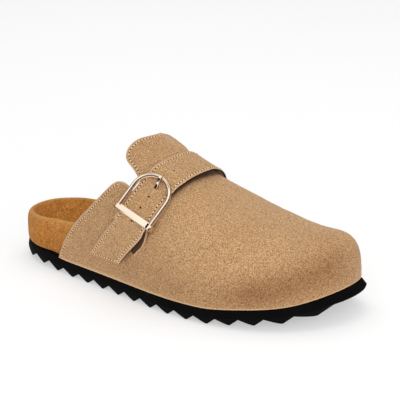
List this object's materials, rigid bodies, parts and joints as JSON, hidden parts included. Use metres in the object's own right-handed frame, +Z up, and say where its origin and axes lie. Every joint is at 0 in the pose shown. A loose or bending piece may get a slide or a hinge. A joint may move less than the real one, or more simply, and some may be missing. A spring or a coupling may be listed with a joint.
{
  "type": "clog slipper",
  "caption": "Right-foot clog slipper: closed-toe suede upper with a buckled strap, contoured footbed and sawtooth rubber sole.",
  "frame": {"origin": "on the floor, under the middle of the shoe's box", "axes": "+X from heel to toe, +Y to the inner (big-toe) side, +Z up"},
  "size_m": [0.266, 0.1024, 0.1061],
  "materials": {
    "black_rubber": "matte moulded rubber",
    "footbed_suede": "orange-brown suede over a moulded footbed",
    "upper_suede": "tan suede with a fine nap",
    "rose_gold_metal": "polished rose-gold plating"
  },
  "bodies": {
    "root": {"outsole": "black_rubber", "footbed": "footbed_suede", "upper": "upper_suede", "strap": "upper_suede", "buckle_frame": "rose_gold_metal", "buckle_prong": "rose_gold_metal", "buckle_anchor": "upper_suede"}
  },
  "joints": []
}
